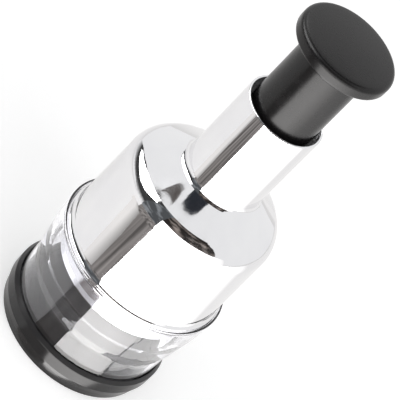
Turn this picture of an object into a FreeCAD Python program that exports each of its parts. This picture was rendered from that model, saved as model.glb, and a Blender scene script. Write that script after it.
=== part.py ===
import FreeCAD, Part
import math
import os
import Sketcher

# Plunger food chopper. Millimetres, +Z up, origin on the axis at the flat underside of the base.
# A plunger pushes a folded blade down through a slotted wiper into a clear cup, and a spring
# lifts it again. Every piece is turned about the Z axis unless its section says otherwise.

SIZES = [
    # base cap
    ("base_rim", 1.9, "wall of the base outside the cup"),
    ("base_height", 15.5, "top of the base rim"),
    ("base_bevel_height", 1.8, "height of the sloping top of the rim"),
    ("base_rim_flat", 0.35, "flat land left inside the bevel"),
    ("base_foot_inset", 2.0, "how far the foot lies inside the rim"),
    ("base_waist_inset", 1.0, "how far the wall is drawn in at its waist"),
    ("base_waist_height", 4.2, "height of that waist"),
    ("base_swell_height", 7.6, "height where the wall reaches its full radius"),
    ("base_seat_height", 3.0, "floor of the groove that holds the cup"),
    ("chopping_height", 10.0, "top of the chopping surface"),
    ("chopping_wall", 2.5, "thickness of the chopping surface"),
    ("base_rib_width", 1.6, "thickness of the ribs under the chopping surface"),
    ("base_rib_lift", 1.0, "height of the ribs' lower edge above the table"),
    # clear cup
    ("cup_radius", 41.65, "outer radius of the straight lower cup"),
    ("cup_wall", 2.2, "wall of the straight lower cup"),
    ("cup_clearance", 0.35, "gap round the cup in the base and round the flange in the cup"),
    ("cup_flare_growth", 1.65, "how far the first flare widens the cup"),
    ("cup_bulge_growth", 3.65, "how far the collar has widened at its bulge"),
    ("cup_rim_growth", 4.35, "how far the rim lies outside the lower cup"),
    ("cup_ledge_growth", 0.25, "how far the bore above the ledge lies outside the lower cup"),
    ("cup_flare_start_drop", 12.3, "depth of the flare's start below the ledge"),
    ("cup_flare_end_drop", 6.5, "depth of the flare's end below the ledge"),
    ("cup_bulge_rise", 7.8, "height of the bulge above the ledge"),
    ("cup_flare_round", 6.0, "radius that softens the flare"),
    ("cup_ledge_drop", 7.5, "gap between the ledge and the blade guard"),
    ("cup_lip", 1.35, "wall of the cup's lip round the flange"),
    ("cup_lip_height", 2.0, "height of that lip above the seat"),
    ("cup_seat_width", 0.85, "width of the seat for the flange"),
    # chrome housing
    ("flange_height", 2.9, "height of the flange's straight edge"),
    ("cove_inset", 1.5, "how far the foot of the wall lies inside the flange"),
    ("cove_rise", 1.4, "height of the cove before rounding"),
    ("cove_round", 3.6, "radius of the cove above the flange"),
    ("body_inset", 2.0, "how far the top of the wall lies inside the flange"),
    ("shell_wall", 1.6, "wall of the housing"),
    ("shoulder_room", 8.9, "height of the sharp shoulder above the chassis web"),
    ("shoulder_rise", 13.4, "height of the cone from shoulder to neck"),
    ("shoulder_round", 12.0, "radius of the shoulder's rounding"),
    ("neck_gap", 2.2, "gap between the stem and the neck"),
    ("neck_wall", 1.4, "wall of the neck"),
    ("neck_round", 4.0, "radius between the cone and the neck"),
    ("rim_round", 0.6, "radius on the rims of base, cup, neck and flange"),
    ("boss_height", 7.5, "height of the screw bosses above the chassis"),
    # inner chassis and what sits on it
    ("chassis_wall", 1.2, "wall of the chassis bell"),
    ("fixed_gap", 0.1, "gap between pieces pressed together"),
    ("chassis_lift", 1.2, "height of the chassis bell's edge above the cup's seat"),
    ("web_thickness", 3.0, "thickness of the chassis web"),
    ("guide_gap", 2.3, "gap between the rod guide and the spring's turns"),
    ("guide_height", 13.0, "height of the rod guide above the web"),
    ("screw_radius", 1.5, "radius of a screw's shank"),
    ("screw_head_radius", 2.4, "radius of a screw's head"),
    ("screw_head_height", 1.8, "height of a screw's head"),
    ("screw_grip", 6.0, "length of a screw in its boss"),
    ("screw_clearance", 0.05, "gap round a screw's shank and the blade's insert"),
    ("bumper_height", 2.0, "height of the rubber stop"),
    ("bumper_overhang", 0.6, "how far the stop lies inside the stem's wall"),
    ("seat_thickness", 1.0, "thickness of the spring's steel washer"),
    # blade guard, wiper and its snap ring
    ("guard_wall", 1.6, "wall of the blade guard"),
    ("guard_reach", 11.8, "depth of the guard below the cup's seat"),
    ("guard_grip", 15.0, "height of the guard above the cup's seat"),
    ("guard_lip", 1.1, "how far the lip under the wiper reaches in"),
    ("guard_lip_height", 1.2, "height of that lip"),
    ("ring_pitch", 0.9, "distance between the fine rings round the guard"),
    ("ring_depth", 0.3, "depth of a fine ring"),
    ("wiper_thickness", 2.5, "thickness of the wiper"),
    ("wiper_clearance", 0.35, "gap between the wiper and the guard"),
    ("slot_clearance", 0.45, "gap each side of the blade in the wiper"),
    ("snap_ring_width", 1.0, "radial width of the wiper's snap ring"),
    ("snap_ring_height", 1.0, "height of the wiper's snap ring"),
    # plunger
    ("stroke_length", 40.0, "travel of the plunger"),
    ("stop_gap", 0.3, "gap at both ends of the plunger's travel and round washers"),
    ("knob_clearance", 1.6, "gap under the knob at full stroke"),
    ("knob_radius", 25.7, "outer radius of the knob"),
    ("knob_height", 8.3, "height of the knob"),
    ("knob_round", 4.4, "radius round the top of the knob"),
    ("knob_under_round", 1.5, "radius round the bottom of the knob"),
    ("knob_pocket_radius", 8.5, "radius of the pocket for the rod's nut"),
    ("knob_pocket_depth", 5.0, "depth of that pocket above the knob's underside"),
    ("spigot_height", 1.4, "height of the knob's spigot in the stem"),
    ("stem_radius", 17.3, "outer radius of the stem"),
    ("stem_wall", 2.1, "wall of the stem"),
    ("stem_plate", 4.0, "thickness of the plate that closes the stem"),
    ("stem_flange_growth", 1.8, "width of the flange that keeps the stem in"),
    ("stem_flange_height", 2.0, "height of that flange"),
    ("bush_clearance", 0.08, "running gap between the stem and its bush"),
    ("bush_height", 22.0, "height of the neck bush"),
    ("bush_recess", 6.5, "depth of the bush below the neck's rim"),
    ("rod_radius", 3.0, "radius of the drive rod"),
    ("rod_clearance", 0.06, "running gap round the rod"),
    ("collar_radius", 4.8, "radius of the rod's two collars"),
    ("collar_height", 1.5, "height of a rod collar"),
    ("nut_radius", 5.5, "radius across the corners of the rod's nut"),
    ("nut_height", 3.6, "height of the rod's nut"),
    ("clip_radius", 4.6, "outer radius of the clip under the blade holder"),
    ("clip_thickness", 0.8, "thickness of the clip"),
    ("clip_groove", 0.6, "depth of the clip's groove in the rod"),
    ("axial_play", 0.1, "end play of the blade holder on the rod"),
    # return spring
    ("spring_stem_gap", 2.2, "gap between the spring's washers and the inside of the stem"),
    ("spring_wire", 0.7, "radius of the spring's wire"),
    ("spring_turns", 15.0, "turns of the spring"),
    ("spring_cap_height", 1.5, "thickness of the washer above the spring"),
    ("spring_land", 2.0, "width of the washers beyond the spring's mean radius"),
    # blade set
    ("blade_margin", 1.5, "gap between the blade's folds and the holder's edge"),
    ("blade_end_inset", 3.0, "how far the blade's ends lie inside its reach along X"),
    ("blade_folds", 7.0, "number of folds and ends of the blade"),
    ("blade_thickness", 0.8, "thickness of the blade"),
    ("blade_floor_gap", 0.5, "gap to the chopping surface at full stroke"),
    ("blade_recess", 0.1, "height of the resting blade above the wiper's underside"),
    ("blade_insert", 1.8, "depth of the blade in its holder"),
    ("holder_clearance", 0.6, "gap between the holder and the wiper's snap ring"),
    ("holder_thickness", 3.2, "thickness of the blade holder"),
    ("holder_gap", 2.3, "gap between holder and wiper at full stroke"),
    ("crown_inner", 9.0, "inner radius of the index teeth"),
    ("crown_outer", 14.0, "outer radius of the index teeth"),
    ("crown_base", 1.0, "thickness of the index cam under its teeth"),
    ("crown_ring", 3.5, "thickness of the index ring"),
    ("crown_gap", 0.3, "gap between the two sets of teeth"),
    ("tooth_height", 2.0, "height of an index tooth"),
    ("tooth_half_width", 2.0, "half the width of an index tooth"),
    ("tooth_count", 8.0, "number of index teeth"),
    ("cut_overrun", 1.0, "how far a cut passes the face that it opens"),
]

# radii, each worked out from the cup's and the stem's
GROOVE_OUTER = "cup_radius + cup_clearance"
GROOVE_INNER = "cup_radius - cup_wall - cup_clearance"
HOLLOW_RADIUS = GROOVE_INNER + " - chopping_wall"
BASE_RADIUS = GROOVE_OUTER + " + base_rim"
CUP_INNER = "cup_radius - cup_wall"
CUP_RIM_RADIUS = "cup_radius + cup_rim_growth"
SEAT_OUTER = CUP_RIM_RADIUS + " - cup_lip"
SEAT_INNER = SEAT_OUTER + " - cup_seat_width"
FLANGE_RADIUS = SEAT_OUTER + " - cup_clearance"
COVE_RADIUS = FLANGE_RADIUS + " - cove_inset"
BODY_RADIUS = FLANGE_RADIUS + " - body_inset"
SHELL_INNER = BODY_RADIUS + " - shell_wall"
CHASSIS_OUTER = SHELL_INNER + " - fixed_gap"
CHASSIS_INNER = CHASSIS_OUTER + " - chassis_wall"
SCREW_CIRCLE = CHASSIS_INNER + " - fixed_gap - screw_head_radius"
BOSS_RADIUS = "screw_head_radius + chassis_wall" + " + fixed_gap" * 3
GUARD_OUTER = CHASSIS_INNER + " - fixed_gap"
GUARD_INNER = GUARD_OUTER + " - guard_wall"
SNAP_OUTER = GUARD_INNER + " - fixed_gap"
SNAP_INNER = SNAP_OUTER + " - snap_ring_width"
HOLDER_RADIUS = SNAP_INNER + " - holder_clearance"
NECK_INNER = "stem_radius + neck_gap"
NECK_RADIUS = NECK_INNER + " + neck_wall"
STEM_INNER = "stem_radius - stem_wall"
BUSH_BORE = "stem_radius + bush_clearance"
SPRING_RADIUS = STEM_INNER + " - spring_stem_gap - spring_land"
WASHER_RADIUS = SPRING_RADIUS + " + spring_land"
GUIDE_RADIUS = SPRING_RADIUS + " - spring_wire - guide_gap"
ROD_BORE = "rod_radius + rod_clearance"

# heights, stacked from the chopping surface to the top of the knob
CHOPPING_UNDER = "chopping_height - chopping_wall"
BLADE_BOTTOM = "chopping_height + blade_floor_gap + stroke_length"
WIPER_BOTTOM = BLADE_BOTTOM + " - blade_recess"
WIPER_TOP = WIPER_BOTTOM + " + wiper_thickness"
GUARD_BOTTOM = WIPER_BOTTOM + " - guard_lip_height"
LEDGE_HEIGHT = GUARD_BOTTOM + " - cup_ledge_drop"
SEAT_HEIGHT = GUARD_BOTTOM + " + guard_reach"
FLANGE_TOP = SEAT_HEIGHT + " + flange_height"
HOLDER_BOTTOM = WIPER_TOP + " + holder_gap + stroke_length"
HOLDER_TOP = HOLDER_BOTTOM + " + holder_thickness"
BLADE_TOP = HOLDER_BOTTOM + " + blade_insert"
CAM_FACE = HOLDER_TOP + " + crown_base"
RING_FACE = CAM_FACE + " + crown_gap"
WEB_BOTTOM = RING_FACE + " + crown_ring"
WEB_TOP = WEB_BOTTOM + " + web_thickness"
SHOULDER_EDGE = WEB_TOP + " + shoulder_room"
NECK_BASE = SHOULDER_EDGE + " + shoulder_rise"
STEM_BOTTOM = WEB_TOP + " + bumper_height + stroke_length + stop_gap"
STEM_FLANGE_TOP = STEM_BOTTOM + " + stem_flange_height"
BUSH_BOTTOM = STEM_FLANGE_TOP + " + stop_gap"
BUSH_TOP = BUSH_BOTTOM + " + bush_height"
NECK_TOP = BUSH_TOP + " + bush_recess"
KNOB_BOTTOM = NECK_TOP + " + stroke_length + knob_clearance"
KNOB_TOP = KNOB_BOTTOM + " + knob_height"
PLATE_TOP = KNOB_BOTTOM + " - spigot_height"
PLATE_BOTTOM = PLATE_TOP + " - stem_plate"
CLIP_TOP = HOLDER_BOTTOM + " - axial_play"
CLIP_BOTTOM = CLIP_TOP + " - clip_thickness"
ROD_BOTTOM = CLIP_BOTTOM + " - clip_thickness"
ROD_TOP = PLATE_TOP + " + nut_height + axial_play"
LOW_COLLAR = CAM_FACE + " + axial_play"

FINE_RINGS = 3
BASE_RIBS = 6
SCREWS = 3
ARCS_PER_TURN = 4
SAME_PLACE = 0.01

document = FreeCAD.newDocument("plunger_chopper")
sheet = document.addObject("Spreadsheet::Sheet", "sizes")
for row, (alias, size, meaning) in enumerate(SIZES, start=1):
    sheet.set("A%d" % row, meaning)
    sheet.set("B%d" % row, str(size))
    sheet.setAlias("B%d" % row, alias)
document.recompute()

pieces = []


def number(text):
    """Value of a sum of size names and numbers, such as 'cup_radius - cup_wall'."""
    total = 0.0
    sign = 1.0
    for word in text.split():
        if word in ("+", "-"):
            sign = 1.0 if word == "+" else -1.0
        elif word[0].isdigit():
            total += sign * float(word)
        else:
            total += sign * float(sheet.get(word))
    return total


def formula(text):
    """The same sum with each name pointing at its cell of the sheet."""
    words = ["sizes." + word if word[0].isalpha() else word for word in text.split()]
    return " ".join(words)


def origin_part(body, role):
    for feature in body.Origin.OriginFeatures:
        if feature.Role == role:
            return feature
    raise ValueError("no origin part " + role)


def new_body(label):
    body = document.addObject("PartDesign::Body", label)
    body.Label = label
    pieces.append(body)
    return body


def outline_sketch(body, name, outline, role="XZ_Plane", offset=None):
    """A closed outline of straight lines, each corner tied to the sheet by its two distances."""
    sketch = body.newObject("Sketcher::SketchObject", name)
    sketch.AttachmentSupport = [(origin_part(body, role), "")]
    sketch.MapMode = "FlatFace"
    if offset:
        sketch.setExpression("AttachmentOffset.Base.z", formula(offset))
    corners = [FreeCAD.Vector(number(across), number(up), 0) for across, up in outline]
    count = len(corners)
    for index in range(count):
        sketch.addGeometry(Part.LineSegment(corners[index], corners[(index + 1) % count]), False)
    for index in range(count):
        sketch.addConstraint(Sketcher.Constraint("Coincident", (index - 1) % count, 2, index, 1))
    for index, (across, up) in enumerate(outline):
        tie_corner(sketch, index, "DistanceX", -2, across, "across%d" % index)
        tie_corner(sketch, index, "DistanceY", -1, up, "up%d" % index)
    return sketch


def tie_corner(sketch, index, kind, axis, text, name):
    value = number(text)
    if text == "0":
        sketch.addConstraint(Sketcher.Constraint("PointOnObject", index, 1, axis))
        return
    constraint = sketch.addConstraint(Sketcher.Constraint(kind, -1, 1, index, 1, value))
    sketch.renameConstraint(constraint, name)
    sketch.setExpression("Constraints." + name, formula(text))


def turned(label, outline):
    """A body turned from one outline of (radius, height) corners."""
    body = new_body(label)
    sketch = outline_sketch(body, label + "_outline", outline)
    turning = body.newObject("PartDesign::Revolution", label + "_turning")
    turning.Profile = sketch
    turning.ReferenceAxis = (sketch, ["V_Axis"])
    turning.Angle = 360
    sketch.Visibility = False
    document.recompute()
    return body


def circles_at(shape, radius, height):
    """Names of the full circular edges of that radius and height."""
    names = []
    for index, edge in enumerate(shape.Edges, start=1):
        if not isinstance(edge.Curve, Part.Circle):
            continue
        centre = edge.Curve.Center
        if math.hypot(centre.x, centre.y) > SAME_PLACE:
            continue
        if abs(edge.Curve.Radius - radius) < SAME_PLACE and abs(centre.z - height) < SAME_PLACE:
            names.append("Edge%d" % index)
    return names


def round_corners(body, radius, corners):
    """Fillet the turned corners given by (radius, height)."""
    base = body.Tip
    names = []
    for across, up in corners:
        found = circles_at(base.Shape, number(across), number(up))
        if not found:
            raise ValueError("%s has no corner at %s, %s" % (body.Label, across, up))
        names += found
    fillet = body.newObject("PartDesign::Fillet", body.Label + "_round")
    fillet.Base = (base, names)
    fillet.setExpression("Radius", formula(radius))
    document.recompute()


def add_extrusion(body, kind, name, sketch, length, flip, sign):
    """A pad or pocket whose volume change is checked against its direction."""
    before = body.Shape.Volume
    feature = body.newObject("PartDesign::" + kind, name)
    feature.Profile = sketch
    feature.Reversed = flip
    feature.setExpression("Length", formula(length))
    document.recompute()
    if sign * (feature.Shape.Volume - before) <= 0:
        raise ValueError(name + " changed nothing")
    return feature


def repeat_round(body, feature, count):
    pattern = body.newObject("PartDesign::PolarPattern", feature.Name + "_ring")
    pattern.Originals = [feature]
    pattern.Axis = (origin_part(body, "Z_Axis"), [""])
    pattern.Angle = 360
    pattern.Occurrences = count
    body.Tip = pattern
    document.recompute()


def circle_sketch(body, name, centre, radius, height):
    """One circle on a level plane, its centre on the X axis."""
    sketch = body.newObject("Sketcher::SketchObject", name)
    sketch.AttachmentSupport = [(origin_part(body, "XY_Plane"), "")]
    sketch.MapMode = "FlatFace"
    sketch.setExpression("AttachmentOffset.Base.z", formula(height))
    middle = FreeCAD.Vector(number(centre), 0, 0)
    sketch.addGeometry(Part.Circle(middle, FreeCAD.Vector(0, 0, 1), number(radius)), False)
    sketch.addConstraint(Sketcher.Constraint("PointOnObject", 0, 3, -1))
    sketch.addConstraint(Sketcher.Constraint("DistanceX", -1, 1, 0, 3, number(centre)))
    sketch.renameConstraint(1, "centre")
    sketch.setExpression("Constraints.centre", formula(centre))
    sketch.addConstraint(Sketcher.Constraint("Radius", 0, number(radius)))
    sketch.renameConstraint(2, "radius")
    sketch.setExpression("Constraints.radius", formula(radius))
    return sketch


def ring_outline(inner, outer, bottom, top):
    return [(inner, bottom), (outer, bottom), (outer, top), (inner, top)]


def cylinder(name, radius, bottom, length):
    """A plain cylinder on the axis, for booleans."""
    solid = document.addObject("Part::Cylinder", name)
    solid.setExpression("Radius", formula(radius))
    solid.setExpression("Height", formula(length))
    solid.setExpression("Placement.Base.z", formula(bottom))
    return solid


def boolean(kind, label, base, tool):
    result = document.addObject("Part::" + kind, label)
    result.Label = label
    result.Base = base
    result.Tool = tool
    return result


# base cap: a rim round a groove for the cup, and a raised chopping surface on six ribs


def make_base_cap():
    body = turned("base_cap", [
        (HOLLOW_RADIUS, "0"),
        (BASE_RADIUS + " - base_foot_inset", "0"),
        (BASE_RADIUS + " - base_waist_inset", "base_waist_height"),
        (BASE_RADIUS, "base_swell_height"),
        (BASE_RADIUS, "base_height - base_bevel_height"),
        (GROOVE_OUTER + " + base_rim_flat", "base_height"),
        (GROOVE_OUTER, "base_height"),
        (GROOVE_OUTER, "base_seat_height"),
        (GROOVE_INNER, "base_seat_height"),
        (GROOVE_INNER, "chopping_height"),
        ("0", "chopping_height"),
        ("0", CHOPPING_UNDER),
        (HOLLOW_RADIUS, CHOPPING_UNDER),
    ])
    round_corners(body, "rim_round", [(BASE_RADIUS, "base_height - base_bevel_height")])
    rib = outline_sketch(body, "base_rib_outline", [
        ("0", "base_rib_width"),
        (HOLLOW_RADIUS + " + rim_round", "base_rib_width"),
        (HOLLOW_RADIUS + " + rim_round", "0"),
        ("0", "0"),
    ], "XY_Plane", "base_rib_lift")
    height = CHOPPING_UNDER + " - base_rib_lift + rim_round"
    feature = add_extrusion(body, "Pad", "base_rib", rib, height, False, 1)
    repeat_round(body, feature, BASE_RIBS)


# clear cup: a tube open at both ends, wider above a ledge, with a seat for the housing


def make_clear_cup():
    flare_start = LEDGE_HEIGHT + " - cup_flare_start_drop"
    flare_end = LEDGE_HEIGHT + " - cup_flare_end_drop"
    cup_top = SEAT_HEIGHT + " + cup_lip_height"
    body = turned("clear_cup", [
        (CUP_INNER, "base_seat_height"),
        ("cup_radius", "base_seat_height"),
        ("cup_radius", flare_start),
        ("cup_radius + cup_flare_growth", flare_end),
        ("cup_radius + cup_bulge_growth", LEDGE_HEIGHT + " + cup_bulge_rise"),
        (CUP_RIM_RADIUS, SEAT_HEIGHT),
        (CUP_RIM_RADIUS, cup_top),
        (SEAT_OUTER, cup_top),
        (SEAT_OUTER, SEAT_HEIGHT),
        (SEAT_INNER, SEAT_HEIGHT),
        ("cup_radius + cup_ledge_growth", LEDGE_HEIGHT),
        (CUP_INNER, LEDGE_HEIGHT),
    ])
    round_corners(body, "cup_flare_round", [
        ("cup_radius", flare_start),
        ("cup_radius + cup_flare_growth", flare_end),
    ])
    round_corners(body, "rim_round", [
        (CUP_RIM_RADIUS, cup_top),
        (SEAT_OUTER, cup_top),
        (CUP_INNER, LEDGE_HEIGHT),
    ])


# chrome housing: flange, wall, shoulder and neck in one shell, with three bosses for screws


def make_chrome_housing():
    cove_height = FLANGE_TOP + " + cove_rise"
    inner_edge = SHOULDER_EDGE + " - shell_wall"
    body = turned("chrome_housing", [
        (SHELL_INNER, SEAT_HEIGHT),
        (FLANGE_RADIUS, SEAT_HEIGHT),
        (FLANGE_RADIUS, FLANGE_TOP),
        (COVE_RADIUS, cove_height),
        (BODY_RADIUS, SHOULDER_EDGE),
        (NECK_RADIUS, NECK_BASE),
        (NECK_RADIUS, NECK_TOP),
        (NECK_INNER, NECK_TOP),
        (NECK_INNER, NECK_BASE + " - shell_wall"),
        (SHELL_INNER, inner_edge),
    ])
    round_corners(body, "shoulder_round", [(BODY_RADIUS, SHOULDER_EDGE)])
    round_corners(body, "shoulder_round - shell_wall", [(SHELL_INNER, inner_edge)])
    round_corners(body, "neck_round", [(NECK_RADIUS, NECK_BASE)])
    round_corners(body, "cove_round", [(COVE_RADIUS, cove_height)])
    round_corners(body, "rim_round", [
        (NECK_RADIUS, NECK_TOP),
        (NECK_INNER, NECK_TOP),
        (FLANGE_RADIUS, FLANGE_TOP),
    ])
    boss = circle_sketch(body, "boss_circle", SCREW_CIRCLE, BOSS_RADIUS, WEB_TOP)
    feature = add_extrusion(body, "Pad", "boss", boss, "boss_height", False, 1)
    repeat_round(body, feature, SCREWS)
    bore = circle_sketch(body, "bore_circle", SCREW_CIRCLE, "screw_radius + screw_clearance", WEB_TOP)
    feature = add_extrusion(body, "Pocket", "bore", bore, "screw_grip + stop_gap", True, -1)
    repeat_round(body, feature, SCREWS)


# inner chassis: a bell inside the housing, with a web that carries the guide for the rod


def make_inner_chassis():
    body = turned("inner_chassis", [
        (CHASSIS_INNER, SEAT_HEIGHT + " + chassis_lift"),
        (CHASSIS_OUTER, SEAT_HEIGHT + " + chassis_lift"),
        (CHASSIS_OUTER, WEB_TOP),
        (GUIDE_RADIUS, WEB_TOP),
        (GUIDE_RADIUS, WEB_TOP + " + guide_height"),
        (ROD_BORE, WEB_TOP + " + guide_height"),
        (ROD_BORE, WEB_BOTTOM),
        (CHASSIS_INNER, WEB_BOTTOM),
    ])
    hole = circle_sketch(body, "hole_circle", SCREW_CIRCLE, "screw_radius + screw_clearance", WEB_BOTTOM)
    feature = add_extrusion(body, "Pocket", "hole", hole, "web_thickness + stop_gap", True, -1)
    repeat_round(body, feature, SCREWS)


def make_chassis_screws():
    """Three pan-head screws from below the web up into the housing's bosses."""
    screws = []
    for index in range(SCREWS):
        angle = 360 / SCREWS * index
        shank = document.addObject("Part::Cylinder", "screw_shank%d" % index)
        shank.setExpression("Radius", "sizes.screw_radius")
        shank.setExpression("Height", "sizes.web_thickness + sizes.screw_grip")
        head = document.addObject("Part::Cylinder", "screw_head%d" % index)
        head.setExpression("Radius", "sizes.screw_head_radius")
        head.setExpression("Height", "sizes.screw_head_height")
        shank.setExpression("Placement.Base.z", formula(WEB_BOTTOM))
        head.setExpression("Placement.Base.z", formula(WEB_BOTTOM + " - screw_head_height"))
        for piece in (shank, head):
            piece.setExpression("Placement.Base.x", "( %s ) * cos(%g deg)" % (formula(SCREW_CIRCLE), angle))
            piece.setExpression("Placement.Base.y", "( %s ) * sin(%g deg)" % (formula(SCREW_CIRCLE), angle))
        screws.append(boolean("Fuse", "screw%d" % index, shank, head))
    group = document.addObject("Part::Compound", "chassis_screws")
    group.Label = "chassis_screws"
    group.Links = screws
    pieces.append(group)


# neck bush, rubber stop and spring washer


def make_neck_bush():
    turned("neck_bush", ring_outline(BUSH_BORE, NECK_INNER + " - fixed_gap", BUSH_BOTTOM, BUSH_TOP))


def make_stop_bumper():
    inner = STEM_INNER + " - bumper_overhang"
    outline = ring_outline(inner, "stem_radius", WEB_TOP, WEB_TOP + " + bumper_height")
    turned("stop_bumper", outline)


def make_spring_seat():
    inner = GUIDE_RADIUS + " + stop_gap"
    turned("spring_seat", ring_outline(inner, WASHER_RADIUS, WEB_TOP, WEB_TOP + " + seat_thickness"))


# blade guard with its lip and fine rings, the wiper's snap ring


def make_blade_guard():
    top = SEAT_HEIGHT + " + guard_grip"
    outline = [(GUARD_INNER + " - guard_lip", GUARD_BOTTOM), (GUARD_OUTER, GUARD_BOTTOM)]
    for ring in range(1, FINE_RINGS + 1):
        middle = GUARD_BOTTOM + " + ring_pitch" * ring
        outline.append((GUARD_OUTER, middle + " - ring_depth"))
        outline.append((GUARD_OUTER + " - ring_depth", middle))
        outline.append((GUARD_OUTER, middle + " + ring_depth"))
    outline += [
        (GUARD_OUTER, top),
        (GUARD_INNER, top),
        (GUARD_INNER, WIPER_BOTTOM),
        (GUARD_INNER + " - guard_lip", WIPER_BOTTOM),
    ]
    turned("blade_guard", outline)


def make_wiper_retainer():
    bottom = WIPER_TOP + " + stop_gap"
    top = bottom + " + snap_ring_height"
    turned("wiper_retainer", ring_outline(SNAP_INNER, SNAP_OUTER, bottom, top))


# the blade is one strip folded to and fro across the cup; the wiper and the holder are cut to suit


def fold_points(growth):
    """Corners of the folded strip's centre line, each end drawn out by growth."""
    folds = int(number("blade_folds"))
    reach = number(HOLDER_RADIUS + " - blade_margin")
    pitch = (reach - number("blade_end_inset")) * 2 / (folds - 1)
    points = []
    for index in range(folds):
        across = pitch * (index - (folds - 1) / 2)
        side = 1 if index % 2 else -1
        points.append(FreeCAD.Vector(across, side * math.sqrt(reach ** 2 - across ** 2), 0))
    for end, near in ((0, 1), (-1, -2)):
        away = points[end] - points[near]
        points[end] = points[end] + away.normalize() * growth
    return points


def strip_face(half_width, growth):
    """The strip seen from above: its centre line widened each way, with blunt mitred folds."""
    points = fold_points(growth)
    sides = []
    for turn in (1, -1):
        side = []
        for index, point in enumerate(points):
            before = (point - points[index - 1]).normalize() if index else None
            after = (points[index + 1] - point).normalize() if index + 1 < len(points) else None
            if before is None or after is None:
                along = after if before is None else before
                side.append(point + FreeCAD.Vector(-along.y, along.x, 0) * half_width * turn)
                continue
            left = FreeCAD.Vector(-before.y, before.x, 0) * turn
            right = FreeCAD.Vector(-after.y, after.x, 0) * turn
            bisector = (left + right).normalize()
            outside = before.cross(after).z * turn < 0
            if outside:
                side.append(point + left * half_width + before * half_width)
                side.append(point + right * half_width - after * half_width)
            else:
                side.append(point + bisector * (half_width / bisector.dot(left)))
        sides.append(side)
    ring = sides[0] + sides[1][::-1]
    return Part.Face(Part.makePolygon(ring + [ring[0]]))


def strip_solid(name, half_width, growth, bottom, top):
    """The strip as an upright solid. Its outline follows a formula, so it is a plain feature."""
    solid = document.addObject("Part::Feature", name)
    solid.Label = name
    height = number(top) - number(bottom)
    solid.Shape = strip_face(half_width, growth).extrude(FreeCAD.Vector(0, 0, height))
    solid.Placement.Base = FreeCAD.Vector(0, 0, number(bottom))
    return solid


def make_blade_strip():
    half = number("blade_thickness") / 2
    pieces.append(strip_solid("blade_strip", half, 0, BLADE_BOTTOM, BLADE_TOP))


def make_wiper_disc():
    disc = cylinder("wiper_blank", GUARD_INNER + " - wiper_clearance", WIPER_BOTTOM, "wiper_thickness")
    gap = number("slot_clearance")
    half = number("blade_thickness") / 2 + gap
    slot = strip_solid("wiper_slot", half, gap, WIPER_BOTTOM + " - cut_overrun", WIPER_TOP + " + cut_overrun")
    pieces.append(boolean("Cut", "wiper_disc", disc, slot))


def make_blade_holder():
    disc = cylinder("holder_blank", HOLDER_RADIUS, HOLDER_BOTTOM, "holder_thickness")
    gap = number("screw_clearance")
    half = number("blade_thickness") / 2 + gap
    slot = strip_solid("holder_slot", half, gap, HOLDER_BOTTOM + " - cut_overrun", BLADE_TOP)
    bore = cylinder("holder_bore", ROD_BORE, HOLDER_BOTTOM, "holder_thickness")
    tools = boolean("Fuse", "holder_cuts", slot, bore)
    pieces.append(boolean("Cut", "blade_holder", disc, tools))


# index cam on the holder and index ring under the web: eight radial ridges in eight grooves


def tooth_sketch(body, face, root, start, name):
    """A tooth seen along X: a triangle whose sides run on to root below the face, start from the axis."""
    sketch = body.newObject("Sketcher::SketchObject", name)
    sketch.AttachmentSupport = [(origin_part(body, "YZ_Plane"), "")]
    sketch.MapMode = "FlatFace"
    sketch.setExpression("AttachmentOffset.Base.z", formula(start))
    low = number(face) - number(root)
    half = number("tooth_half_width") * (1 + number(root) / number("tooth_height"))
    high = number(face) + number("tooth_height")
    corners = [FreeCAD.Vector(-half, low, 0), FreeCAD.Vector(half, low, 0), FreeCAD.Vector(0, high, 0)]
    for index in range(3):
        sketch.addGeometry(Part.LineSegment(corners[index], corners[(index + 1) % 3]), False)
    for index in range(3):
        sketch.addConstraint(Sketcher.Constraint("Coincident", index, 2, (index + 1) % 3, 1))
    sketch.addConstraint(Sketcher.Constraint("PointOnObject", 2, 1, -2))
    sketch.addConstraint(Sketcher.Constraint("Symmetric", 0, 1, 1, 1, -2))
    width = sketch.addConstraint(Sketcher.Constraint("DistanceX", 0, 1, 1, 1, 2 * half))
    sketch.renameConstraint(width, "width")
    slope = "( 1 + %s / sizes.tooth_height )" % formula(root)
    sketch.setExpression("Constraints.width", "2 * sizes.tooth_half_width * " + slope)
    for geometry, value, key, text in ((0, low, "low", formula(face + " - " + root)),
                                       (2, high, "high", formula(face + " + tooth_height"))):
        constraint = sketch.addConstraint(Sketcher.Constraint("DistanceY", -1, 1, geometry, 1, value))
        sketch.renameConstraint(constraint, key)
        sketch.setExpression("Constraints." + key, text)
    return sketch


def make_index_cam():
    body = turned("index_cam", ring_outline(ROD_BORE, "crown_outer", HOLDER_TOP, CAM_FACE))
    tooth = tooth_sketch(body, CAM_FACE, "0", "crown_inner", "cam_tooth_outline")
    length = "crown_outer - crown_inner - crown_gap"
    feature = add_extrusion(body, "Pad", "cam_tooth", tooth, length, False, 1)
    repeat_round(body, feature, int(number("tooth_count")))


def make_index_ring():
    inner = "crown_inner - crown_gap"
    outer = "crown_outer + crown_gap"
    body = turned("index_ring", ring_outline(inner, outer, RING_FACE, WEB_BOTTOM))
    start = inner + " - crown_gap - crown_gap"
    tooth = tooth_sketch(body, RING_FACE, "cut_overrun", start, "ring_tooth_outline")
    length = "crown_outer - crown_inner" + " + crown_gap" * 5
    feature = add_extrusion(body, "Pocket", "ring_tooth", tooth, length, True, -1)
    repeat_round(body, feature, int(number("tooth_count")))


# plunger: knob, stem, drive rod with nut and clip, washer above the spring


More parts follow.
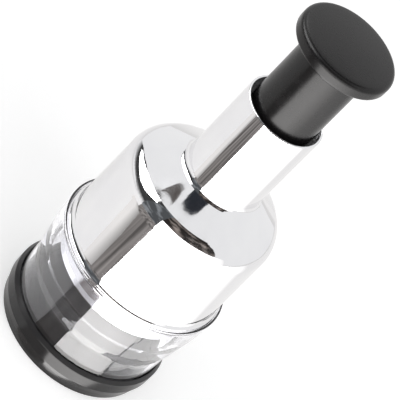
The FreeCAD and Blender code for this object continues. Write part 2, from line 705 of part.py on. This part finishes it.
def make_knob():
    body = turned("knob", [
        ("knob_pocket_radius", PLATE_TOP),
        (STEM_INNER + " - fixed_gap", PLATE_TOP),
        (STEM_INNER + " - fixed_gap", KNOB_BOTTOM),
        ("knob_radius", KNOB_BOTTOM),
        ("knob_radius", KNOB_TOP),
        ("0", KNOB_TOP),
        ("0", KNOB_BOTTOM + " + knob_pocket_depth"),
        ("knob_pocket_radius", KNOB_BOTTOM + " + knob_pocket_depth"),
    ])
    round_corners(body, "knob_round", [("knob_radius", KNOB_TOP)])
    round_corners(body, "knob_under_round", [("knob_radius", KNOB_BOTTOM)])


def make_plunger_stem():
    turned("plunger_stem", [
        (STEM_INNER, STEM_BOTTOM),
        ("stem_radius + stem_flange_growth", STEM_BOTTOM),
        ("stem_radius + stem_flange_growth", STEM_FLANGE_TOP),
        ("stem_radius", STEM_FLANGE_TOP),
        ("stem_radius", KNOB_BOTTOM),
        (STEM_INNER, KNOB_BOTTOM),
        (STEM_INNER, PLATE_TOP),
        (ROD_BORE, PLATE_TOP),
        (ROD_BORE, PLATE_BOTTOM),
        (STEM_INNER, PLATE_BOTTOM),
    ])


def make_drive_rod():
    turned("drive_rod", [
        ("0", ROD_BOTTOM),
        ("rod_radius", ROD_BOTTOM),
        ("rod_radius", CLIP_BOTTOM),
        ("rod_radius - clip_groove", CLIP_BOTTOM),
        ("rod_radius - clip_groove", CLIP_TOP),
        ("rod_radius", CLIP_TOP),
        ("rod_radius", LOW_COLLAR),
        ("collar_radius", LOW_COLLAR),
        ("collar_radius", LOW_COLLAR + " + collar_height"),
        ("rod_radius", LOW_COLLAR + " + collar_height"),
        ("rod_radius", PLATE_BOTTOM + " - collar_height"),
        ("collar_radius", PLATE_BOTTOM + " - collar_height"),
        ("collar_radius", PLATE_BOTTOM),
        ("rod_radius", PLATE_BOTTOM),
        ("rod_radius", ROD_TOP),
        ("0", ROD_TOP),
    ])


def make_rod_nut():
    """A hexagon nut on the rod's thread, inside the knob."""
    blank = document.addObject("Part::Prism", "nut_blank")
    blank.Polygon = 6
    blank.setExpression("Circumradius", "sizes.nut_radius")
    blank.setExpression("Height", "sizes.nut_height")
    blank.setExpression("Placement.Base.z", formula(PLATE_TOP))
    thread = cylinder("nut_thread", ROD_BORE, PLATE_TOP, "nut_height")
    pieces.append(boolean("Cut", "rod_nut", blank, thread))


def make_blade_clip():
    inner = "rod_radius - clip_groove + screw_clearance"
    turned("blade_clip", ring_outline(inner, "clip_radius", CLIP_BOTTOM + " + screw_clearance", CLIP_TOP))


def make_spring_cap():
    inner = "collar_radius + stop_gap"
    bottom = PLATE_BOTTOM + " - spring_cap_height"
    turned("spring_cap", ring_outline(inner, WASHER_RADIUS, bottom, PLATE_BOTTOM))


def make_return_spring():
    """A wire wound at a steady pitch, swept along three-point arcs of a quarter turn."""
    wire_radius = number("spring_wire")
    radius = number(SPRING_RADIUS)
    turns = number("spring_turns")
    low = number(WEB_TOP + " + seat_thickness") + wire_radius
    high = number(PLATE_BOTTOM + " - spring_cap_height") - wire_radius

    def place(turn):
        angle = 2 * math.pi * turn
        height = low + (high - low) * turn / turns
        return FreeCAD.Vector(radius * math.cos(angle), radius * math.sin(angle), height)

    step = 1 / ARCS_PER_TURN
    arcs = [Part.Arc(place(k * step), place((k + 0.5) * step), place((k + 1) * step)).toShape()
            for k in range(int(round(turns * ARCS_PER_TURN)))]
    path = Part.Wire(arcs)
    start = arcs[0].tangentAt(arcs[0].FirstParameter)
    section = Part.Wire([Part.Circle(place(0), start, wire_radius).toShape()])
    spring = document.addObject("Part::Feature", "return_spring")
    spring.Label = "return_spring"
    spring.Shape = path.makePipeShell([section], True, False)
    pieces.append(spring)
    gap = (high - low) / turns - 2 * wire_radius
    print("spring: least gap between turns %.2f mm" % gap)


make_base_cap()
make_clear_cup()
make_chrome_housing()
make_inner_chassis()
make_chassis_screws()
make_neck_bush()
make_stop_bumper()
make_spring_seat()
make_blade_guard()
make_wiper_retainer()
make_wiper_disc()
make_index_ring()
make_blade_strip()
make_blade_holder()
make_index_cam()
make_blade_clip()
make_knob()
make_plunger_stem()
make_drive_rod()
make_rod_nut()
make_spring_cap()
make_return_spring()
document.recompute()

for thing in document.Objects:
    if "Invalid" in thing.State or "Error" in thing.State:
        raise ValueError("%s failed: %s" % (thing.Name, thing.State))
for piece in pieces:
    if piece.Shape.isNull() or not piece.Shape.isValid():
        raise ValueError("%s has no valid shape" % piece.Label)

os.makedirs("parts", exist_ok=True)
for piece in pieces:
    piece.Shape.exportStep("parts/%s.step" % piece.Label)
    print("%s: %d solid(s), %.1f mm3" % (piece.Label, len(piece.Shape.Solids), piece.Shape.Volume))
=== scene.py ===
import math

import bpy
from mathutils import Matrix, Vector


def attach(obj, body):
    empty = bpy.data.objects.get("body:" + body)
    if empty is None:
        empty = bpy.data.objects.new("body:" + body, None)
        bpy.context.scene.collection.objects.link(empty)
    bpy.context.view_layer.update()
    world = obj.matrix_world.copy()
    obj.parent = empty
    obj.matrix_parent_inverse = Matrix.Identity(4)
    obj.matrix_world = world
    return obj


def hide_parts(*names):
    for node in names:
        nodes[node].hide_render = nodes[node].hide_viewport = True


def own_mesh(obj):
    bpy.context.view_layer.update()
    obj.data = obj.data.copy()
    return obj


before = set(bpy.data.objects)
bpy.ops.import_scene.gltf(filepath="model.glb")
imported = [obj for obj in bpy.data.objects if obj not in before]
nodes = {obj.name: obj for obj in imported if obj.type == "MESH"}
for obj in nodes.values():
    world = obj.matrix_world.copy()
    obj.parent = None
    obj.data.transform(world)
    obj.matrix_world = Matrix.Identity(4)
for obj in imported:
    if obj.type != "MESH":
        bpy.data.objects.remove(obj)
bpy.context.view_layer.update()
scene = bpy.context.scene
bpy.ops.object.select_all(action="DESELECT")
print("chopper: frame loaded,", len(nodes), "pieces")

# camera, at the photograph's angle
cameraSet = {
    "aim": (0.00017, 0.0, 0.1088),
    "distance": 1.280,
    "down": 36.5,      # degrees below level
    "roll": 44.45,     # the photograph is tipped over to the right
    "lens": 244.4,
    "sensor": 36.0,
    "near": 0.05, "far": 60,
}


def placeCamera(s):
    tilt = Matrix.Rotation(math.radians(90 - s["down"]), 4, "X")
    turn = tilt @ Matrix.Rotation(math.radians(s["roll"]), 4, "Z")
    back = turn.to_3x3() @ Vector((0, 0, 1))
    place = Vector(s["aim"]) + back * s["distance"]
    bpy.ops.object.camera_add(location=place, rotation=turn.to_euler())
    camera = bpy.context.object
    camera.name = "photoCamera"
    camera.data.lens = s["lens"]
    camera.data.sensor_width = s["sensor"]
    camera.data.clip_start = s["near"]
    camera.data.clip_end = s["far"]
    scene.camera = camera


placeCamera(cameraSet)
scene.view_settings.view_transform = "Standard"
scene.cycles.use_denoising = True
# enough bounces for light to get through both walls of the clear cup
scene.cycles.max_bounces = 32
scene.cycles.transmission_bounces = 32
scene.cycles.glossy_bounces = 16


# node helpers
def newMaterial(name):
    material = bpy.data.materials.new(name)
    material.use_nodes = True
    tree = material.node_tree
    tree.nodes.clear()
    output = tree.nodes.new("ShaderNodeOutputMaterial")
    return material, tree, output


def addNode(tree, kind, **values):
    node = tree.nodes.new(kind)
    for key, value in values.items():
        setattr(node, key, value)
    return node


def noiseFrom(tree, coordinates, scale, detail=3.0, roughness=0.5, stretch=None):
    source = coordinates
    if stretch:
        mapping = addNode(tree, "ShaderNodeMapping")
        mapping.inputs["Scale"].default_value = stretch
        tree.links.new(coordinates, mapping.inputs["Vector"])
        source = mapping.outputs["Vector"]
    noise = addNode(tree, "ShaderNodeTexNoise")
    noise.inputs["Scale"].default_value = scale
    noise.inputs["Detail"].default_value = detail
    noise.inputs["Roughness"].default_value = roughness
    tree.links.new(source, noise.inputs["Vector"])
    return noise.outputs["Fac"]


def spread(tree, value, low, high, fromLow=0.3, fromHigh=0.7):
    node = addNode(tree, "ShaderNodeMapRange")
    node.inputs["From Min"].default_value = fromLow
    node.inputs["From Max"].default_value = fromHigh
    node.inputs["To Min"].default_value = low
    node.inputs["To Max"].default_value = high
    tree.links.new(value, node.inputs["Value"])
    return node.outputs["Result"]


def blendColour(tree, factor, first, second):
    node = addNode(tree, "ShaderNodeMix", data_type="RGBA")
    node.inputs["A"].default_value = (*first, 1)
    node.inputs["B"].default_value = (*second, 1)
    tree.links.new(factor, node.inputs["Factor"])
    return node.outputs["Result"]


def bumpFrom(tree, height, distance, before=None):
    node = addNode(tree, "ShaderNodeBump")
    node.inputs["Distance"].default_value = distance
    node.inputs["Strength"].default_value = 1.0
    tree.links.new(height, node.inputs["Height"])
    if before:
        tree.links.new(before, node.inputs["Normal"])
    return node.outputs["Normal"]


# a finish: two tones, a range of roughness and rows of bumps (scale, height in metres, stretch)
def makeFinish(s):
    material, tree, output = newMaterial(s["name"])
    surface = addNode(tree, "ShaderNodeBsdfPrincipled")
    tree.links.new(surface.outputs["BSDF"], output.inputs["Surface"])
    place = addNode(tree, "ShaderNodeTexCoord").outputs["Object"]
    tone = noiseFrom(tree, place, s["toneScale"], detail=4.0, roughness=0.55)
    colour = blendColour(tree, spread(tree, tone, 0, 1), s["colour"], s["colour2"])
    if "ground" in s:                   # a band along the lower edge, ground bright
        split = addNode(tree, "ShaderNodeSeparateXYZ")
        tree.links.new(place, split.inputs[0])
        band = spread(tree, split.outputs["Z"], 1, 0, s["ground"]["low"], s["ground"]["high"])
        mix = addNode(tree, "ShaderNodeMix", data_type="RGBA")
        tree.links.new(colour, mix.inputs["A"])
        mix.inputs["B"].default_value = (*s["ground"]["colour"], 1)
        tree.links.new(band, mix.inputs["Factor"])
        colour = mix.outputs["Result"]
    tree.links.new(colour, surface.inputs["Base Color"])
    wear = noiseFrom(tree, place, s["wearScale"], detail=5.0, roughness=0.6, stretch=s.get("wearStretch"))
    tree.links.new(spread(tree, wear, *s["roughness"]), surface.inputs["Roughness"])
    normal = None
    for scale, distance, stretch in s["bumps"]:
        grain = noiseFrom(tree, place, scale, detail=2.0, stretch=stretch)
        normal = bumpFrom(tree, grain, distance, normal)
    tree.links.new(normal, surface.inputs["Normal"])
    surface.inputs["Metallic"].default_value = s.get("metal", 0)
    surface.inputs["IOR"].default_value = s.get("ior", 1.5)
    surface.inputs["Transmission Weight"].default_value = s.get("clear", 0)
    return material


def finishNode(name, material):
    for slot in nodes[name].material_slots:
        slot.material = material


# chrome housing
chromeSet = {
    "name": "mirrorChrome", "metal": 1.0,
    "colour": (0.86, 0.86, 0.87), "colour2": (0.80, 0.80, 0.82), "toneScale": 30,
    "roughness": (0.03, 0.07), "wearScale": 90,
    "bumps": [(90, 0.00003, None), (260, 0.000004, None)],
}
chrome = makeFinish(chromeSet)
finishNode("chrome_housing", chrome)

# black moulded plastic
blackSet = {
    "name": "blackPlastic", "ior": 1.37,
    "colour": (0.0065, 0.006, 0.0065), "colour2": (0.010, 0.009, 0.0095), "toneScale": 60,
    "roughness": (0.22, 0.30), "wearScale": 160,
    "bumps": [(1400, 0.000006, None), (120, 0.00001, None)],
}
black = makeFinish(blackSet)
for name in ("plunger_stem", "neck_bush", "wiper_disc"):
    finishNode(name, black)

# the base is moulded in a slightly greyer black
baseSet = {
    "name": "baseBlack", "ior": 1.37,
    "colour": (0.022, 0.0215, 0.0225), "colour2": (0.028, 0.027, 0.028), "toneScale": 60,
    "roughness": (0.20, 0.27), "wearScale": 160,
    "bumps": [(1400, 0.000006, None), (120, 0.00001, None)],
}
finishNode("base_cap", makeFinish(baseSet))

# clear cup
clearSet = {
    "name": "clearPlastic", "ior": 1.5, "clear": 1.0,
    "colour": (0.965, 0.965, 0.99), "colour2": (0.94, 0.942, 0.975), "toneScale": 25,
    "roughness": (0.0, 0.012), "wearScale": 70,
    "bumps": [(45, 0.000002, None)],
}
clear = makeFinish(clearSet)
finishNode("clear_cup", clear)

# white moulded plastic
whiteSet = {
    "name": "whitePlastic",
    "colour": (0.72, 0.72, 0.70), "colour2": (0.66, 0.66, 0.64), "toneScale": 50,
    "roughness": (0.32, 0.45), "wearScale": 140,
    "bumps": [(900, 0.000008, None)],
}
white = makeFinish(whiteSet)
for name in ("inner_chassis", "index_ring", "spring_cap", "blade_holder", "index_cam"):
    finishNode(name, white)

# polished steel of the guard
guardSet = {
    "name": "polishedSteel", "metal": 1.0,
    "colour": (0.78, 0.78, 0.79), "colour2": (0.70, 0.70, 0.72), "toneScale": 40,
    "roughness": (0.10, 0.18), "wearScale": 200, "wearStretch": (0.15, 0.15, 3.0),
    "bumps": [(120, 0.00002, None), (800, 0.000003, (0.1, 0.1, 2.0))],
}
guardSteel = makeFinish(guardSet)
finishNode("blade_guard", guardSteel)

# brushed steel of the blade; the band's heights are those of its lower edge
bladeSet = {
    "name": "bladeSteel", "metal": 1.0,
    "colour": (0.62, 0.62, 0.64), "colour2": (0.54, 0.54, 0.56), "toneScale": 60,
    "roughness": (0.18, 0.30), "wearScale": 400, "wearStretch": (1.0, 1.0, 0.05),
    "bumps": [(1500, 0.000003, (1.0, 1.0, 0.04))],
    "ground": {"low": 0.0522, "high": 0.0527, "colour": (0.86, 0.86, 0.87)},
}
bladeSteel = makeFinish(bladeSet)
finishNode("blade_strip", bladeSteel)

# plain steel of the small parts
steelSet = {
    "name": "zincSteel", "metal": 1.0,
    "colour": (0.60, 0.60, 0.61), "colour2": (0.50, 0.50, 0.50), "toneScale": 150,
    "roughness": (0.25, 0.40), "wearScale": 500,
    "bumps": [(1200, 0.000004, None)],
}
steel = makeFinish(steelSet)
for name in ("chassis_screws", "spring_seat", "drive_rod", "rod_nut", "blade_clip", "return_spring",
             "wiper_retainer"):
    finishNode(name, steel)

# rubber ring that ends the stroke
rubberSet = {
    "name": "stopRubber",
    "colour": (0.03, 0.03, 0.03), "colour2": (0.05, 0.048, 0.045), "toneScale": 200,
    "roughness": (0.7, 0.9), "wearScale": 300,
    "bumps": [(1500, 0.00002, None)],
}
rubber = makeFinish(rubberSet)
finishNode("stop_bumper", rubber)
print("chopper: finishes on the pieces")


# knob: a domed cap with a soft edge on a short hub, turned ring by ring
knobSet = {
    "sides": 128,
    "smooth": 32,                       # degrees
    "hubRadius": 0.0173, "hubFoot": 0.2209,
    "radius": 0.0258, "under": 0.2211,   # under is the cap's underside
    "underRound": 0.0018, "edgeRound": 0.0025, "roundRings": 7,
    "domeTop": 0.2292, "domeRadius": 0.30, "domeRings": 9,
}


def turnedPiece(name, rings, sides, smooth):
    bpy.ops.object.select_all(action="DESELECT")
    radius, height = rings[0]
    bpy.ops.mesh.primitive_circle_add(vertices=sides, radius=radius, fill_type="NGON",
                                      location=(0, 0, height))
    piece = bpy.context.object
    piece.name = name
    bpy.ops.object.mode_set(mode="EDIT")
    bpy.ops.mesh.select_all(action="SELECT")
    for nextRadius, nextHeight in rings[1:]:
        wider = nextRadius / radius
        bpy.ops.mesh.extrude_region_move(TRANSFORM_OT_translate={"value": (0, 0, nextHeight - height)})
        bpy.ops.transform.resize(value=(wider, wider, 1), center_override=(0, 0, nextHeight))
        radius, height = nextRadius, nextHeight
    bpy.ops.mesh.select_all(action="SELECT")
    bpy.ops.mesh.normals_make_consistent(inside=False)
    bpy.ops.object.mode_set(mode="OBJECT")
    bpy.ops.object.transform_apply(location=True, rotation=True, scale=True)
    bpy.ops.object.shade_smooth_by_angle(angle=math.radians(smooth))
    return piece


def quarter(radius, centre, height, start, end, count):
    turns = [math.radians(start + (end - start) * step / count) for step in range(count + 1)]
    return [(centre + radius * math.cos(a), height + radius * math.sin(a)) for a in turns]


def makeKnob(s):
    rings = [(s["hubRadius"], s["hubFoot"]), (s["hubRadius"], s["under"])]
    rings += quarter(s["underRound"], s["radius"] - s["underRound"], s["under"] + s["underRound"], -90, 0,
                     s["roundRings"])
    # the soft edge runs into the dome where both lean alike
    domeRadius, centre = s["domeRadius"], s["radius"] - s["edgeRound"]
    lean = math.asin(centre / (domeRadius - s["edgeRound"]))
    height = s["domeTop"] - domeRadius + (domeRadius - s["edgeRound"]) * math.cos(lean)
    rings += quarter(s["edgeRound"], centre, height, 0, 90 - math.degrees(lean), s["roundRings"])
    outer = rings[-1][0]
    for step in range(1, s["domeRings"]):
        r = outer * (1 - step / s["domeRings"])
        rings.append((r, s["domeTop"] - domeRadius + math.sqrt(domeRadius ** 2 - r ** 2)))
    knob = turnedPiece("domedKnob", rings, s["sides"], s["smooth"])
    knob.data.materials.append(black)
    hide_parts("knob")
    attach(knob, "plunger")


makeKnob(knobSet)
print("chopper: knob modelled")


# return spring: a wound coil, carried on the plunger
springSet = {
    "wire": 0.0007, "coil": 0.011,      # radii
    "foot": 0.1072, "top": 0.2140, "turns": 15, "steps": 28, "sides": 12,
    "merge": 0.00001, "smooth": 40, "stroke": 0.040,
}


def makeSpring(s):
    bpy.ops.object.select_all(action="DESELECT")
    bpy.ops.mesh.primitive_circle_add(vertices=s["sides"], radius=s["wire"], fill_type="NOTHING",
                                      location=(s["coil"], 0, s["foot"] + s["wire"]),
                                      rotation=(math.radians(90), 0, 0))
    coil = bpy.context.object
    coil.name = "woundSpring"
    bpy.ops.object.transform_apply(location=True, rotation=True, scale=True)
    winding = coil.modifiers.new("winding", "SCREW")
    winding.axis = "Z"
    winding.steps = winding.render_steps = s["steps"]
    winding.iterations = s["turns"]
    winding.screw_offset = (s["top"] - s["foot"] - 2 * s["wire"]) / s["turns"]
    bpy.ops.object.modifier_apply(modifier="winding")
    bpy.ops.object.mode_set(mode="EDIT")
    bpy.ops.mesh.select_all(action="SELECT")
    bpy.ops.mesh.remove_doubles(threshold=s["merge"])
    bpy.ops.mesh.select_all(action="SELECT")
    bpy.ops.mesh.fill_holes(sides=s["sides"])
    bpy.ops.mesh.select_all(action="SELECT")
    bpy.ops.mesh.normals_make_consistent(inside=False)
    bpy.ops.object.mode_set(mode="OBJECT")
    bpy.ops.object.shade_smooth_by_angle(angle=math.radians(s["smooth"]))
    coil.data.materials.append(steel)
    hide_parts("return_spring")
    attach(coil, "plunger")
    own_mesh(coil)


makeSpring(springSet)
print("chopper: spring wound")


# studio: floor, world and lamps
def seenBy(tree, path, rays):
    seen = path.outputs[rays[0]]
    for ray in rays[1:]:
        either = addNode(tree, "ShaderNodeMath", operation="MAXIMUM")
        tree.links.new(seen, either.inputs[0])
        tree.links.new(path.outputs[ray], either.inputs[1])
        seen = either.outputs[0]
    return seen


straightRays = ("Is Camera Ray", "Is Transmission Ray")
mirrorRays = ("Is Glossy Ray",)
floorSet = {
    "side": 40.0, "colour": 0.80,
    "glow": 0.44,                       # added to what camera and clear pieces see of it
    "mirrorGlow": 0.34, "mirrorTint": (1, 0.975, 0.95),      # added to what chrome and black plastic see
}


def makeFloor(s):
    bpy.ops.mesh.primitive_plane_add(size=s["side"], location=(0, 0, 0))
    floor = bpy.context.object
    floor.name = "studioFloor"
    material, tree, output = newMaterial("paleFloor")
    paint = addNode(tree, "ShaderNodeBsdfDiffuse")
    paint.inputs["Color"].default_value = (s["colour"],) * 3 + (1,)
    path = addNode(tree, "ShaderNodeLightPath")
    total = paint.outputs[0]
    for rays, tint, level in ((straightRays, (1, 1, 1), s["glow"]),
                              (mirrorRays, s["mirrorTint"], s["mirrorGlow"])):
        strength = addNode(tree, "ShaderNodeMath", operation="MULTIPLY")
        tree.links.new(seenBy(tree, path, rays), strength.inputs[0])
        strength.inputs[1].default_value = level
        glow = addNode(tree, "ShaderNodeEmission")
        glow.inputs["Color"].default_value = (*tint, 1)
        tree.links.new(strength.outputs[0], glow.inputs["Strength"])
        both = addNode(tree, "ShaderNodeAddShader")
        tree.links.new(total, both.inputs[0])
        tree.links.new(glow.outputs[0], both.inputs[1])
        total = both.outputs[0]
    tree.links.new(total, output.inputs["Surface"])
    floor.data.materials.append(material)


makeFloor(floorSet)

# light falls on matt surfaces, room is what mirrors see, backdrop what the camera sees
worldSet = {"light": 0.55, "room": 0.95, "backdrop": 1.0}


def makeWorld(s):
    world = bpy.data.worlds.new("studioWorld")
    scene.world = world
    world.use_nodes = True
    tree = world.node_tree
    tree.nodes.clear()
    output = tree.nodes.new("ShaderNodeOutputWorld")
    part = {}
    for key, strength in s.items():
        part[key] = addNode(tree, "ShaderNodeBackground")
        part[key].inputs["Color"].default_value = (1, 1, 1, 1)
        part[key].inputs["Strength"].default_value = strength
    path = addNode(tree, "ShaderNodeLightPath")
    mirrored = addNode(tree, "ShaderNodeMixShader")
    tree.links.new(seenBy(tree, path, mirrorRays), mirrored.inputs[0])
    tree.links.new(part["light"].outputs[0], mirrored.inputs[1])
    tree.links.new(part["room"].outputs[0], mirrored.inputs[2])
    seen = addNode(tree, "ShaderNodeMixShader")
    tree.links.new(seenBy(tree, path, straightRays), seen.inputs[0])
    tree.links.new(mirrored.outputs[0], seen.inputs[1])
    tree.links.new(part["backdrop"].outputs[0], seen.inputs[2])
    tree.links.new(seen.outputs[0], output.inputs["Surface"])


makeWorld(worldSet)

lampSet = {
    "front": {"place": (0.9, -0.9, 1.3), "size": 0.9, "power": 9.0},
    "left": {"place": (-1.2, -0.5, 1.0), "size": 0.8, "power": 4.0},
}
lampAim = Vector((0, 0, 0.1))


def hangLamp(name, s):
    bpy.ops.object.light_add(type="AREA", location=s["place"])
    lamp = bpy.context.object
    lamp.name = name + "Lamp"
    lamp.data.size = s["size"]
    lamp.data.energy = s["power"]
    lamp.rotation_euler = (lampAim - Vector(s["place"])).to_track_quat("-Z", "Y").to_euler()
    lamp.visible_camera = False


for name, s in lampSet.items():
    hangLamp(name, s)

# reflection cards are painted reflections: glowing sheets that are no lamps and light nothing, put where
# mirrors show highlights and dark bands. The camera does not see them, only mirrored rays do, and rays
# through the clear cup where behindGlass says so. A card with corners lies flat at its height. A card in
# the air has places of (degrees round from the front, lowest and highest degrees up), away from the
# middle.
# glow is the level, or the lowest one where streaks or patches give the highest. A fade goes from
# glow to its own glow, by degrees round from the front or along a direction in metres.
cardSet = {
    "brightSheet": {
        "corners": [(0.0015, -0.0443), (0.016, -0.0420), (0.030, -0.0405), (0.046, -0.0385),
                    (0.100, -0.056), (0.300, -0.120), (1.40, -0.52), (0.75, -1.30), (-0.39, -1.45),
                    (-0.053, -0.214), (-0.0405, -0.150), (-0.034, -0.122), (-0.004, -0.109),
                    (-0.0015, -0.062)],
        "height": 0.0006, "glow": 7.0, "tint": (1, 0.985, 0.97), "behindGlass": True,
        "fade": {"start": 28, "end": 72, "glow": 2.8},
    },
    "sheetEdge": {
        "corners": [(0.048, -0.040), (0.062, -0.020), (0.058, 0.030), (0.016, 0.062), (0.39, 1.45),
                    (1.30, 0.75), (1.45, 0.10), (1.40, -0.52), (0.300, -0.120), (0.101, -0.056)],
        "height": 0.0008, "glow": 3.2, "tint": (1, 0.99, 0.98), "behindGlass": True,
        "fade": {"start": 56, "end": 112, "glow": 0.95},
    },
    "seam": {
        "corners": [(0.0455, -0.0390), (0.1000, -0.0572), (0.1012, -0.0546), (0.0477, -0.0372)],
        "height": 0.0011, "glow": 0.05, "tint": (1, 0.9, 0.9),
    },
    "darkStrip": {
        "corners": [(0.0015, -0.0443), (-0.0015, -0.062), (-0.004, -0.109), (-0.034, -0.122),
                    (-0.0405, -0.150), (-0.053, -0.214), (-0.39, -1.45), (-1.05, -1.05), (-0.190, -0.190),
                    (-0.147, -0.163), (-0.093, -0.130), (-0.040, -0.069), (-0.027, -0.051),
                    (-0.022, -0.0385)],
        "height": 0.0012, "glow": 0.11, "tint": (1.0, 0.93, 0.89), "streaks": 0.42, "behindGlass": True,
    },
    "stripShade": {
        "corners": [(-0.052, -0.083), (-0.093, -0.130), (-0.147, -0.163), (-0.190, -0.190),
                    (-0.240, -0.240), (-0.320, -0.200), (-0.190, -0.110), (-0.105, -0.080),
                    (-0.070, -0.070)],
        "height": 0.0010, "glow": 0.38, "tint": (1.0, 0.975, 0.95),
        "fade": {"along": (-0.60, 0.80, 0), "start": -0.046, "end": -0.012, "glow": 0.95},
    },
    "brightSweep": {
        "round": [(-15, -6, 34), (0, -6, 34), (18, -6, 33), (45, -6, 31), (61, -6, 28), (70, -6, 26),
                  (78, -6, 24)],
        "away": 1.5, "glow": 2.6, "tint": (1, 0.99, 0.98),
        "fade": {"start": 35, "end": 78, "glow": 1.1},
    },
    "curtain": {
        "round": [(-15, 34, 77.6), (0, 34, 78.2), (18, 33, 77.4), (27, 32, 76.8), (46, 31, 74.8),
                  (60, 28, 71.8), (67, 28, 70), (71, 45, 68.5), (76, 65, 67)],
        "away": 1.52, "glow": 0.03, "tint": (1, 0.86, 0.78), "patches": 0.34,
    },
    "stripSweep": {
        "round": [(-46, -8, 74.4), (-38, -8, 75.4), (-30, -8, 76.2), (-22, -8, 76.9), (-15, -8, 77.6)],
        "away": 1.51, "glow": 0.10, "tint": (0.90, 0.95, 1.0), "patches": 0.30,
    },
    "leftBacking": {
        "round": [(-130, 0, 6), (-125, 2, 15), (-122, 3, 24), (-117, 5, 36), (-111, 7, 44.5),
                  (-102, 9, 51.5), (-92, 11, 59.8), (-77, 12, 67.3), (-66, 7, 70.8), (-61, 3, 71.8),
                  (-53, -2, 73.4), (-46, -8, 74.4)],
        "away": 1.55, "glow": 1.0, "tint": (1, 1, 1),
        "fade": {"along": (0, 0, 1), "start": 0.05, "end": 0.46, "glow": 0.05},
    },
    "leftPanel": {
        "round": [(-118, 22, 27), (-111, 24, 38), (-104, 26, 46.5), (-98, 27.5, 54), (-92, 28, 59),
                  (-87, 28.5, 62.2), (-76, 29, 66.8), (-66, 33, 69.6), (-62, 34.5, 67.5), (-54, 44, 61),
                  (-46, 54, 55)],
        "away": 1.5, "glow": 5.5, "tint": (1, 1, 1),
    },
    "ceiling": {
        "round": [(110, 66, 89), (135, 58, 89), (160, 53, 89), (180, 51, 89), (200, 54, 89),
                  (215, 58, 89), (235, 64, 89)],
        "away": 1.56, "glow": 0.04, "tint": (1, 0.95, 0.92),
    },
    "backPanel": {
        "round": [(-168, 46, 52), (-160, 43, 54), (-152, 43, 54), (-146, 46, 52)],
        "away": 1.54, "glow": 3.0, "tint": (1, 1, 1),
    },
    "overheadBlob": {
        "corners": [(-0.045, -0.046), (-0.042, -0.053), (-0.033, -0.061), (-0.014, -0.066),
                    (0.011, -0.066), (0.026, -0.062), (0.034, -0.052), (0.040, -0.048)],
        "height": 0.30, "glow": 0.035, "tint": (0.72, 0.80, 1),
    },
    "overheadPatch": {
        "corners": [(-0.098, -0.029), (-0.068, -0.045), (-0.054, -0.056), (-0.049, -0.063),
                    (-0.104, -0.038), (-0.102, -0.034)],
        "height": 0.30, "glow": 0.09, "tint": (1, 0.86, 0.80),
    },
}
airRows = 8                             # rows of faces in a card in the air
# streaks and patches vary a card's glow: painted unevenness in the reflections it gives
reflectionMottle = {
    "streaks": {"scale": 45, "stretch": (1.0, 0.16, 1), "turned": 24, "span": (0.36, 0.66)},
    "patches": {"scale": 2.6, "stretch": None, "turned": 0, "span": (0.46, 0.64)},
}


def tableCard(s):
    corners = s["corners"]
    bpy.ops.mesh.primitive_circle_add(vertices=len(corners), fill_type="NGON", location=(0, 0, 0))
    card = bpy.context.object
    for vertex, (x, y) in zip(card.data.vertices, corners):
        vertex.co = (x, y, s["height"])
    return card


def airCard(s):
    places = s["round"]
    bpy.ops.mesh.primitive_grid_add(x_subdivisions=len(places) - 1, y_subdivisions=airRows, size=1,
                                    location=(0, 0, 0))
    card = bpy.context.object
    for index, vertex in enumerate(card.data.vertices):
        turn, low, high = places[index % len(places)]
        row = index // len(places)
        a, e = math.radians(turn), math.radians(low + (high - low) * row / airRows)
        way = Vector((math.sin(a) * math.cos(e), -math.cos(a) * math.cos(e), math.sin(e)))
        vertex.co = way * s["away"]
    return card


def cardFade(tree, place, s):
    fade = s["fade"]
    start, end = fade["start"], fade["end"]
    if "along" not in fade:             # it follows the degrees round, not a straight line
        split = addNode(tree, "ShaderNodeSeparateXYZ")
        tree.links.new(place, split.inputs[0])
        front = addNode(tree, "ShaderNodeMath", operation="MULTIPLY")
        tree.links.new(split.outputs["Y"], front.inputs[0])
        front.inputs[1].default_value = -1
        turn = addNode(tree, "ShaderNodeMath", operation="ARCTAN2")
        tree.links.new(split.outputs["X"], turn.inputs[0])
        tree.links.new(front.outputs[0], turn.inputs[1])
        return spread(tree, turn.outputs[0], s["glow"], fade["glow"],
                      math.radians(start), math.radians(end))
    toward = addNode(tree, "ShaderNodeVectorMath", operation="DOT_PRODUCT")
    tree.links.new(place, toward.inputs[0])
    toward.inputs[1].default_value = fade["along"]
    return spread(tree, toward.outputs["Value"], s["glow"], fade["glow"], start, end)


def makeCard(name, s):
    card = tableCard(s) if "corners" in s else airCard(s)
    card.name = name
    # the card's emission is a painted reflection; no lamp stands behind it
    material, tree, output = newMaterial(name + "PaintedReflection")
    glow = addNode(tree, "ShaderNodeEmission")
    glow.inputs["Color"].default_value = (*s["tint"], 1)
    glow.inputs["Strength"].default_value = s["glow"]
    place = addNode(tree, "ShaderNodeTexCoord").outputs["Object"]
    # painted streaks and patches in the reflection, set on the card's glow
    for kind, grain in reflectionMottle.items():
        if kind in s:
            turned = addNode(tree, "ShaderNodeMapping")
            turned.inputs["Rotation"].default_value = (0, 0, math.radians(grain["turned"]))
            tree.links.new(place, turned.inputs["Vector"])
            noise = noiseFrom(tree, turned.outputs["Vector"], grain["scale"], detail=2.0,
                              stretch=grain["stretch"])
            level = spread(tree, noise, s["glow"], s[kind], *grain["span"])
            tree.links.new(level, glow.inputs["Strength"])
    if "fade" in s:
        tree.links.new(cardFade(tree, place, s), glow.inputs["Strength"])
    tree.links.new(glow.outputs[0], output.inputs["Surface"])
    card.data.materials.append(material)
    card.visible_camera = card.visible_diffuse = card.visible_shadow = False
    card.visible_transmission = s.get("behindGlass", False)


for name, s in cardSet.items():
    makeCard(name, s)
print("chopper: studio ready")
